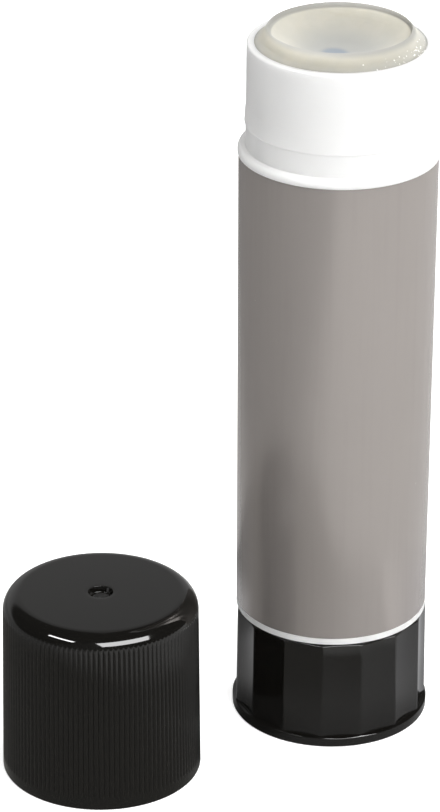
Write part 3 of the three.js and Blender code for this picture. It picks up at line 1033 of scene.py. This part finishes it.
@dataclass
class GlueStickGlue:
    """The glue, with its dished top that stands above the rim, and the carrier under it."""

    slope_start_below_rim: float = 0.03
    dish_radius: float = 9.02
    dish_wall: float = 0.6
    dish_wall_lean: float = 0.15
    dish_depth: float = 3.5
    lip_width: float = 0.1
    lip_drop: float = 0.06
    bowl_step: float = 0.4
    bowl_edge: float = 0.6
    bowl_drop: float = 0.22
    slope_out: float = 0.95
    slope_up: float = 0.55
    straight_height: float = 0.6
    dish_drift: float = -0.1
    wobble: float = 0.05
    wobbles_per_mm: float = 0.22
    wobble_starts: float = 3.0
    wobble_full: float = 8.0
    drift_height: float = 1.2
    gap_to_bore: float = 0.38
    groove_width: float = 2.0
    groove_floor: float = 10.0
    groove_below_rim: float = 5.7
    groove_first_angle: float = math.pi / 3.0
    groove_count: int = 3
    end_clearance: float = 0.3
    tip_length: float = 3.2
    tip_bore: float = 2.05
    thread_bore: float = 3.35
    nut_bore: float = 4.95
    nut_height: float = 8.3
    carrier_wall: float = 1.2
    bubble_count: int = 70
    bubble_seed: int = 7
    bubble_angle: float = 60.0
    bubble_angle_spread: float = 18.0
    bubble_smallest: float = 0.06
    bubble_largest: float = 0.15
    slope_hollow: float = 1.6
    facets: int = 240

    def __post_init__(self) -> None:
        """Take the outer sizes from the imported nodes."""
        self.glue = Place.of("glue")
        self.barrel = Place.of("barrel")
        self.carrier = Place.of("elevator")
        self.spindle = Place.of("spindle")

    def build(self, frame: dict[str, Any]) -> None:
        """Build the glue and its surface bubbles, and dress the carrier.
        """
        top = Vector((0.0, 0.0, self.glue.top * MM))
        gel = ClearGlueGel("cast_glue_gel").build(top)
        mesh = turned(self._outline(), self.facets, self.glue.centre, reshape=self._uneven)
        place_piece("glue_cast", mesh, gel, Body.CARRIER, ["glue"], 60.0)
        froth = ClearGlueGel(
            "burst_glue_bubbles", colour="#fdfdfa", cloudy="#f8f7f2", bowl_shade="#fdfdfa", upward=0.5, glow=0.0
        )
        place_piece("glue_bubbles", self._bubbles(), froth.build(top), Body.CARRIER)
        natural = NaturalPolypropylene("natural_polypropylene").build(self.carrier.centre)
        dress(frame["nodes"]["elevator"], natural)

    def _outline(self) -> list[Point]:
        """Draw the glue's outline from the top of its bore, round its foot and up to its dish.

        Returns:
            The outline's points.
        """
        inside = self.carrier.radius - self.carrier_wall
        radius = self.glue.radius
        rim = self.barrel.top
        bore_top = self.spindle.top + self.end_clearance
        tip_foot = self.spindle.top - self.tip_length
        nut_top = self.carrier.bottom + self.nut_height
        foot = self.carrier.top + self.end_clearance
        slope_start = rim - self.slope_start_below_rim
        wall_foot = self.glue.top - self.dish_wall
        body = rounded(
            [
                (0.0, bore_top, 0.0),
                (self.tip_bore, bore_top, 0.2),
                (self.tip_bore, tip_foot, 0.0),
                (self.thread_bore, tip_foot, 0.0),
                (self.thread_bore, nut_top, 0.0),
                (self.nut_bore, nut_top, 0.0),
                (self.nut_bore, self.glue.bottom, 0.0),
                (inside, self.glue.bottom, 0.0),
                (inside, foot, 0.0),
                (radius, foot, 0.2),
                (radius, rim - self.groove_below_rim - 0.02, 0.0),
                (radius, rim - self.groove_below_rim, 0.0),
                (radius + self.gap_to_bore, slope_start - self.straight_height, 0.2),
                (radius + self.gap_to_bore, slope_start, 0.15),
                (self.dish_radius + self.slope_out, rim + self.slope_up, 0.9),
                (self.dish_radius + self.lip_width, self.glue.top - self.lip_drop, 0.06),
                (self.dish_radius, self.glue.top, 0.05),
                (self.dish_radius - self.dish_wall_lean, wall_foot, 0.08),
                (self.dish_radius - self.bowl_step, wall_foot - 0.12, 0.0),
            ],
            steps=6,
        )
        return body + self._bowl()

    def _bowl(self) -> list[Point]:
        """Draw the bowl inside the dish's low wall, as a part of a sphere, down to the axis.

        Returns:
            The outline's points.
        """
        edge = self.dish_radius - self.bowl_edge
        edge_height = self.glue.top - self.dish_wall - self.bowl_drop
        depth = self.dish_depth - self.dish_wall - self.bowl_drop
        sphere = (edge**2 + depth**2) / (2.0 * depth)
        rows = 16
        points = []
        for row in range(rows + 1):
            radius = edge * (1.0 - row / rows)
            sag = sphere - math.sqrt(sphere**2 - radius**2)
            points.append((radius, edge_height - depth + sag))
        return points

    def _uneven(self, radius: float, angle: float, height: float) -> float:
        """Cut the running grooves for the barrel's ribs, and give the cast top the unevenness of a soft gel.

        Args:
            radius: the point's radius.
            angle: its angle.
            height: its height.

        Returns:
            The new radius.
        """
        if height < self.barrel.top - self.groove_below_rim - 0.01:
            pitch = FULL_TURN / self.groove_count
            offset = (angle - self.groove_first_angle + 0.5 * pitch) % pitch - 0.5 * pitch
            in_groove = height > self.carrier.top and abs(offset) * radius < 0.5 * self.groove_width
            return min(radius, self.groove_floor) if in_groove else radius
        if height < self.barrel.top - 1.0:
            return radius
        place = Vector((radius * math.sin(angle), radius * math.cos(angle), height)) * self.wobbles_per_mm
        above_rim = smoothstep(height, self.barrel.top, self.barrel.top + self.drift_height)
        drift = self.dish_drift * math.sin(angle) * above_rim
        outwards = smoothstep(radius, self.wobble_starts, self.wobble_full)
        return radius + (self.wobble * noise.noise(place) + drift) * outwards

    def _bubbles(self) -> Mesh:
        """Scatter small burst bubbles and droplets over the glue's slope, thickest at the front right.

        Returns:
            The bubbles' mesh.
        """
        draw = Random(self.bubble_seed)
        mesh = bmesh.new()
        low = self.barrel.top - 0.1
        high = self.glue.top - 0.35
        for _ in range(self.bubble_count):
            angle = math.radians(draw.gauss(self.bubble_angle, self.bubble_angle_spread))
            share = draw.random()
            height = low + (high - low) * share
            out = (self.glue.radius + 0.3 - self.dish_radius) * (1.0 - share) ** self.slope_hollow
            radius = self.dish_radius + 0.1 + out
            size = draw.uniform(self.bubble_smallest, self.bubble_largest)
            spot = Vector((radius * math.sin(angle), -radius * math.cos(angle), height)) * MM
            matrix = Matrix.Translation(spot)
            bmesh.ops.create_icosphere(mesh, subdivisions=1, radius=size * MM, matrix=matrix)
        return mesh


@dataclass
class Cap:
    """The black push-on cap: fine ribs, a polished round-edged top, and the gate's pit in its middle."""

    wall: float = 0.85
    draft: float = 0.013
    top_thickness: float = 1.3
    edge_radius: float = 2.4
    band_height: float = 1.45
    rib_count: int = 120
    rib_depth: float = 0.15
    rib_run_out: float = 0.35
    rib_fullness: float = 0.8
    mouth_rounding: float = 0.25
    bead_height: float = 2.1
    bead_length: float = 1.0
    bead_proud: float = 0.2
    gate_radius: float = 1.62
    gate_depth: float = 0.8
    gate_taper: float = 0.2
    stub_radius: float = 1.0
    stub_flatness: float = 0.25
    stub_lumps: tuple[Point, ...] = ((2.3, 0.3), (6.0, 0.16))
    facets_per_rib: int = 8

    def __post_init__(self) -> None:
        """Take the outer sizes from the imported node."""
        self.cap = Place.of("cap")
        self.bore = self.cap.radius - self.wall

    def build(self) -> None:
        """Build and dress the cap and the torn stub in its gate pit."""
        black = GlossBlackStyrene("moulded_black_styrene_cap", ripple_depth_mm=0.0003).build(self.cap.centre)
        mesh = turned(
            self._outline(),
            self.rib_count * self.facets_per_rib,
            self.cap.centre,
            reshape=self._ribbed,
        )
        place_piece("cap_moulding", mesh, black, Body.LOOSE_CAP, ["cap"])
        torn = GlossBlackStyrene("torn_black_styrene", roughness=0.7, haze_roughness=0.8)
        stub = self._stub()
        place_piece("cap_gate_stub", stub, torn.build(self.cap.centre), Body.LOOSE_CAP)

    def _at(self, radius: float, height: float) -> float:
        """Narrow a radius at the foot to what the mould's draft leaves at a height."""
        return radius - self.draft * (height - self.cap.bottom)

    def _outline(self) -> list[Point]:
        """Draw the cap's outline from the middle of its top, over the edge to the mouth, then up inside.

        Returns:
            The outline's points.
        """
        top = self.cap.top
        floor = top - self.gate_depth
        edge_height = top - self.edge_radius
        edge_centre = self._at(self.cap.radius, edge_height) - self.edge_radius
        pit = rounded(
            [
                (0.0, floor, 0.0),
                (0.45, floor, 0.0),
                (0.9, floor, 0.0),
                (self.gate_radius - self.gate_taper, floor, 0.1),
                (self.gate_radius, top, 0.06),
                (self.gate_radius + 0.6, top, 0.0),
            ],
            steps=4,
        )
        steps = 30
        edge = [
            (
                edge_centre + self.edge_radius * math.sin(0.5 * math.pi * step / steps),
                edge_height + self.edge_radius * math.cos(0.5 * math.pi * step / steps),
            )
            for step in range(steps + 1)
        ]
        return pit + edge + self._side(edge_height) + self._inside()

    def _side(self, edge_height: float) -> list[Point]:
        """Draw the ribbed wall from under the rounded edge down to the band and the mouth.

        Args:
            edge_height: where the rounded edge ends.

        Returns:
            The outline's points.
        """
        band = self.cap.bottom + self.band_height
        heights = [0.5 * (edge_height + band)]
        heights.extend(band + self.rib_run_out * share for share in (1.0, 0.7, 0.35, 0.0))
        side = [(self._at(self.cap.radius, height), height) for height in heights]
        mouth = rounded(
            [
                (self._at(self.cap.radius, band - 0.2), band - 0.2, 0.0),
                (self.cap.radius, self.cap.bottom, self.mouth_rounding),
                (self.bore, self.cap.bottom, self.mouth_rounding),
                (self._at(self.bore, 1.2), self.cap.bottom + 1.2, 0.0),
            ],
            steps=5,
        )
        return side + mouth

    def _inside(self) -> list[Point]:
        """Draw the inside from the snap bead up to the middle of the ceiling.

        Returns:
            The outline's points.
        """
        bead = self.cap.bottom + self.bead_height
        ceiling = self.cap.top - self.top_thickness
        return rounded(
            [
                (self._at(self.bore, bead - 0.5), bead - 0.5 * self.bead_length, 0.0),
                (self.bore - self.bead_proud, bead, 0.3),
                (self._at(self.bore, bead + 0.5), bead + 0.5 * self.bead_length, 0.0),
                (self._at(self.bore, ceiling), ceiling, 0.8),
                (0.0, ceiling, 0.0),
            ],
            steps=4,
        )

    def _ribbed(self, radius: float, angle: float, height: float) -> float:
        """Cut the fine grooves between the ribs, up into the rounded edge, where they end in small arches.

        Args:
            radius: the point's radius.
            angle: its angle.
            height: its height.

        Returns:
            The new radius.
        """
        band = self.cap.bottom + self.band_height
        edge = self.cap.top - 0.5 * self.edge_radius
        if radius < self.bore + 0.4 * self.wall or not band < height < edge:
            return radius
        depth = self.rib_depth * smoothstep(height, band, band + self.rib_run_out)
        groove = 1.0 - abs(math.sin(0.5 * self.rib_count * angle)) ** self.rib_fullness
        return min(radius, self._at(self.cap.radius, height) - depth * groove)

    def _stub(self) -> Mesh:
        """Shape the torn stub that the mould's gate leaves in the pit.

        Returns:
            The stub's mesh.
        """
        mesh = bmesh.new()
        bmesh.ops.create_icosphere(mesh, subdivisions=4, radius=self.stub_radius)
        for vert in mesh.verts:
            rough = sum(noise.noise(vert.co * fineness) * height for fineness, height in self.stub_lumps)
            vert.co *= 1.0 + rough
        bmesh.ops.scale(mesh, vec=Vector((1.0, 1.0, self.stub_flatness)) * MM, verts=mesh.verts)
        floor = Vector((self.cap.centre.x, self.cap.centre.y, (self.cap.top - self.gate_depth) * MM))
        bmesh.ops.translate(mesh, vec=floor, verts=mesh.verts)
        return mesh


def dress(node: bpy.types.Object, material: bpy.types.Material) -> None:
    """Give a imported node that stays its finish.

    Args:
        node: the node's object.
        material: its finish.
    """
    node.data.materials.clear()
    node.data.materials.append(material)
    LOG.info("%s keeps its packed shape and is dressed in %s", node.name, material.name)


@dataclass(frozen=True)
class SoftLamp:
    """A rectangular lamp that faces the object."""

    name: str
    azimuth: float
    elevation: float
    distance: float
    width: float
    height: float
    power: float
    lights_surfaces: bool = True
    shows_in_gloss: bool = True

    def build(self, target: Vector) -> None:
        """Hang the lamp.

        Args:
            target: the point that it faces.
        """
        azimuth = math.radians(self.azimuth)
        elevation = math.radians(self.elevation)
        direction = Vector(
            (
                math.sin(azimuth) * math.cos(elevation),
                -math.cos(azimuth) * math.cos(elevation),
                math.sin(elevation),
            )
        )
        data = bpy.data.lights.new(self.name, "AREA")
        data.shape = "RECTANGLE"
        data.size = self.width
        data.size_y = self.height
        data.energy = self.power
        lamp = bpy.data.objects.new(self.name, data)
        lamp.location = target + direction * self.distance
        lamp.rotation_euler = direction.to_track_quat("Z", "Y").to_euler()
        lamp.visible_diffuse = self.lights_surfaces
        lamp.visible_glossy = self.shows_in_gloss
        bpy.context.scene.collection.objects.link(lamp)


@dataclass(frozen=True)
class MirroredFloor:
    """The floor as glossy pieces mirror it, painted in zones: dim in front, brighter behind the object, and
    darkest at its feet, where the object's shadow is painted.

    Places and bands are in millimetres. A band runs from where a zone starts to where it is reached in full.
    """

    front_left: str = "#7e7d7a"
    front: str = "#b5b5b5"
    front_band: Point = (-48.0, 0.0)
    front_right: str = "#e7e7e7"
    front_right_band: Point = (8.0, 16.0)
    behind: str = "#ceced0"
    behind_band: Point = (-10.0, 1.0)
    behind_slant: float = 0.47
    faded: str = "#898989"
    faded_from: Point = (14.0, 0.0)
    faded_band: Point = (43.0, 51.0)
    far_left: str = "#909090"
    far: str = "#d7d7d6"
    far_band: Point = (-110.0, 0.0)
    past_stick_band: Point = (43.5, 46.5)
    cap_at: Point = (-30.0, -16.0)
    past_cap_band: Point = (51.0, 60.0)
    nearer_band: Point = (-32.0, 0.0)
    nearer_by: Point = (0.0, 9.0)
    foot_shadow_band: Point = (12.6, 26.0)
    foot_shadow_levels: Point = (0.7, 1.0)
    gap_at: Point = (-16.0, -9.0)
    gap_shadow_band: Point = (5.0, 13.0)
    gap_shadow_levels: Point = (0.15, 1.0)

    def build(self, tree: Tree) -> Socket:
        """Give the floor's colour in gloss.

        Args:
            tree: the floor material's node tree.

        Returns:
            The colour socket.
        """
        place = object_coordinates(tree)
        from_stick = level_distance(tree, place)
        near = self._near(tree, place)
        far = self._far(tree, place)
        bright = coated(tree, near, (self._past_both(tree, place, from_stick), far))
        # Painted shadow: the mirrored floor is darkened round the stick's foot and in the gap beside the cap.
        foot = add_node(
            tree, "ShaderNodeMapRange", (from_stick, *self.foot_shadow_band, *self.foot_shadow_levels), **SMOOTH
        )
        from_gap = level_distance(tree, place, *self.gap_at)
        gap = add_node(tree, "ShaderNodeMapRange", (from_gap, *self.gap_shadow_band, *self.gap_shadow_levels), **SMOOTH)
        shade = add_node(tree, "ShaderNodeMath", (foot, gap), operation="MULTIPLY")
        return coated(tree, linear("#000000"), (shade, bright))

    def _near(self, tree: Tree, place: Node) -> Socket:
        """Give the colour close to the stick, in front of it and behind it.

        Args:
            tree: the floor material's node tree.
            place: Object coordinates in millimetres.

        Returns:
            The colour socket.
        """
        x, y, _ = add_node(tree, "ShaderNodeSeparateXYZ", (place,)).outputs
        right = add_node(tree, "ShaderNodeMath", (x, y), operation="ADD")
        front = add_node(tree, "ShaderNodeMapRange", (right, *self.front_band), **SMOOTH)
        front_right = add_node(tree, "ShaderNodeMapRange", (right, *self.front_right_band), **SMOOTH)
        left = add_node(tree, "ShaderNodeMath", (x, 0.0), operation="MINIMUM")
        back = add_node(tree, "ShaderNodeMath", (left, self.behind_slant, y), operation="MULTIPLY_ADD")
        behind = add_node(tree, "ShaderNodeMapRange", (back, *self.behind_band), **SMOOTH)
        from_right = level_distance(tree, place, *self.faded_from)
        faded = add_node(tree, "ShaderNodeMapRange", (from_right, *self.faded_band), **SMOOTH)
        return coated(
            tree,
            linear(self.front_left),
            (front, linear(self.front)),
            (front_right, linear(self.front_right)),
            (behind, coated(tree, linear(self.behind), (faded, linear(self.faded)))),
        )

    def _far(self, tree: Tree, place: Node) -> Socket:
        """Give the colour far from the object, dimmer towards the left.

        Args:
            tree: the floor material's node tree.
            place: Object coordinates in millimetres.

        Returns:
            The colour socket.
        """
        x = add_node(tree, "ShaderNodeSeparateXYZ", (place,)).outputs["X"]
        right = add_node(tree, "ShaderNodeMapRange", (x, *self.far_band), **SMOOTH)
        return coated(tree, linear(self.far_left), (right, linear(self.far)))

    def _past_both(self, tree: Tree, place: Node, from_stick: Socket) -> Node:
        """Find where the floor is far from the stick and from the cap, which is nearer at the cap's right.

        Args:
            tree: the floor material's node tree.
            place: Object coordinates in millimetres.
            from_stick: the distance from the stick's axis.

        Returns:
            The node whose output is 1 there.
        """
        x = add_node(tree, "ShaderNodeSeparateXYZ", (place,)).outputs["X"]
        from_cap = level_distance(tree, place, *self.cap_at)
        nearer = add_node(tree, "ShaderNodeMapRange", (x, *self.nearer_band, *self.nearer_by), **SMOOTH)
        reach = add_node(tree, "ShaderNodeMath", (from_cap, nearer), operation="ADD")
        past_stick = add_node(tree, "ShaderNodeMapRange", (from_stick, *self.past_stick_band), **SMOOTH)
        past_cap = add_node(tree, "ShaderNodeMapRange", (reach, *self.past_cap_band), **SMOOTH)
        return add_node(tree, "ShaderNodeMath", (past_stick, past_cap), operation="MULTIPLY")


@dataclass(frozen=True)
class Room:
    """The surroundings: white for the camera, and a dimmer room that lights and that gloss mirrors.

    A band runs over a part of the direction that is looked in, such as its height, which is 1 straight up.
    """

    camera_white: str = "#ffffff"
    fill: str = "#b1b0af"
    front: str = "#595959"
    back_low: str = "#adadad"
    back_high: str = "#959595"
    back_high_band: Point = (0.25, 0.6)
    back_band: Point = (-0.3, 0.5)
    overhead: str = "#3f3f3f"
    overhead_band: Point = (0.8, 0.97)
    overhead_spread: float = 1.1
    overhead_tilt: float = 0.2

    def build(self) -> None:
        """Set the scene's world."""
        world = bpy.data.worlds.new("studio_world")
        bpy.context.scene.world = world
        world.use_nodes = True
        tree = world.node_tree
        tree.nodes.clear()
        path = add_node(tree, "ShaderNodeLightPath")
        light = coated(
            tree,
            linear(self.fill),
            (path.outputs["Is Glossy Ray"], self._mirrored(tree)),
            (path.outputs["Is Camera Ray"], linear(self.camera_white)),
        )
        background = add_node(tree, "ShaderNodeBackground", {"Color": light, "Strength": 1.0})
        add_node(tree, "ShaderNodeOutputWorld", (background,))

    def _mirrored(self, tree: Tree) -> Socket:
        """Give the room's colour in gloss: dark in front and overhead, brighter at the back.

        Args:
            tree: the world's node tree.

        Returns:
            The colour socket.
        """
        texture = add_node(tree, "ShaderNodeTexCoord")
        x, y, z = add_node(tree, "ShaderNodeSeparateXYZ", (texture.outputs["Generated"],)).outputs
        back = add_node(tree, "ShaderNodeMapRange", (y, *self.back_band), **SMOOTH)
        high = add_node(tree, "ShaderNodeMapRange", (z, *self.back_high_band), **SMOOTH)
        aside = add_node(tree, "ShaderNodeMath", (x,), operation="ABSOLUTE")
        tilted = add_node(tree, "ShaderNodeMath", (x, self.overhead_tilt, z), operation="MULTIPLY_ADD")
        level = add_node(
            tree, "ShaderNodeMath", (aside, self.overhead_spread, tilted), operation="MULTIPLY_ADD"
        )
        overhead = add_node(tree, "ShaderNodeMapRange", (level, *self.overhead_band), **SMOOTH)
        wall = coated(tree, linear(self.back_low), (high, linear(self.back_high)))
        return coated(tree, linear(self.front), (back, wall), (overhead, linear(self.overhead)))


@dataclass
class Studio:
    """The pale floor, the white surroundings, the soft lamps and the camera."""

    floor_size: float = 6.0
    floor_colour: str = "#f4f4f4"
    floor_lift: float = 0.6
    lamps_face: Corner = (-0.01, -0.005, 0.05)
    focal_px: float = 4303.45
    frame_height_px: float = 812.0
    sensor_mm: float = 36.0
    camera_mm: Corner = (-14.804, -502.887, 285.530)
    pitch_degrees: float = 25.705
    roll_degrees: float = 0.3031

    def build(self) -> None:
        """Set the stage."""
        bpy.context.scene.view_settings.view_transform = "Standard"
        self._floor()
        Room().build()
        for lamp in self._lamps():
            lamp.build(Vector(self.lamps_face))
        self._camera()

    def _lamps(self) -> list[SoftLamp]:
        """List the lamps: a key at the front right, one overhead, two for gloss, one at the back right.

        Returns:
            The lamps, with azimuth, elevation, distance, width, height and power.
        """
        return [
            SoftLamp("key_softbox", 42.0, 46.0, 0.60, 0.45, 0.35, 3.2, shows_in_gloss=False),
            SoftLamp("overhead_softbox", 0.0, 86.0, 0.60, 0.60, 0.60, 1.4, shows_in_gloss=False),
            SoftLamp("key_gloss", 30.0, 38.0, 0.60, 0.60, 0.26, 5.8, lights_surfaces=False),
            SoftLamp("small_gloss", -54.0, 41.0, 0.60, 0.30, 0.06, 1.5, lights_surfaces=False),
            SoftLamp("right_strip", 140.0, 15.0, 0.55, 0.20, 0.60, 2.2, shows_in_gloss=False),
        ]

    def _floor(self) -> None:
        """Lay a pale floor that keeps the object's shadow, is white to the camera and has zones in gloss."""
        mesh = bmesh.new()
        bmesh.ops.create_grid(mesh, x_segments=1, y_segments=1, size=0.5 * self.floor_size)
        data = bpy.data.meshes.new("studio_floor")
        mesh.to_mesh(data)
        mesh.free()
        material = blank_material("white_paper_sweep")
        tree = material.node_tree
        path = add_node(tree, "ShaderNodeLightPath")
        paper = add_node(tree, "ShaderNodeBsdfDiffuse", {"Color": linear(self.floor_colour)})
        lift = (path.outputs["Is Camera Ray"], self.floor_lift)
        glow = {"Strength": add_node(tree, "ShaderNodeMath", lift, operation="MULTIPLY")}
        seen = add_node(tree, "ShaderNodeAddShader", (paper, add_node(tree, "ShaderNodeEmission", glow)))
        mirror = {"Color": MirroredFloor().build(tree), "Strength": 1.0}
        mirrored = add_node(tree, "ShaderNodeEmission", mirror)
        both = add_node(tree, "ShaderNodeMixShader", (path.outputs["Is Glossy Ray"], seen, mirrored))
        add_node(tree, "ShaderNodeOutputMaterial", (both,))
        data.materials.append(material)
        floor = bpy.data.objects.new("studio_floor", data)
        bpy.context.scene.collection.objects.link(floor)

    def _camera(self) -> None:
        """Set the camera where the photograph was taken from."""
        data = bpy.data.cameras.new("photo_camera")
        data.sensor_fit = "AUTO"
        data.sensor_width = self.sensor_mm
        data.lens = self.focal_px * self.sensor_mm / self.frame_height_px
        data.clip_start = 0.01
        data.clip_end = 20.0
        camera = bpy.data.objects.new("photo_camera", data)
        tilt = Matrix.Rotation(math.radians(90.0 - self.pitch_degrees), 4, "X")
        roll = Matrix.Rotation(math.radians(self.roll_degrees), 4, "Z")
        camera.matrix_world = Matrix.Translation(Vector(self.camera_mm) * MM) @ tilt @ roll
        bpy.context.scene.collection.objects.link(camera)
        bpy.context.scene.camera = camera


def main() -> None:
    """Build the object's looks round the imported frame."""
    logging.basicConfig(level=logging.INFO, format="%(name)s: %(message)s")
    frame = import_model()
    Studio().build()
    Barrel().build()
    TwistBase().build(frame)
    GlueStickGlue().build(frame)
    Cap().build()


if __name__ == "__main__":
    main()
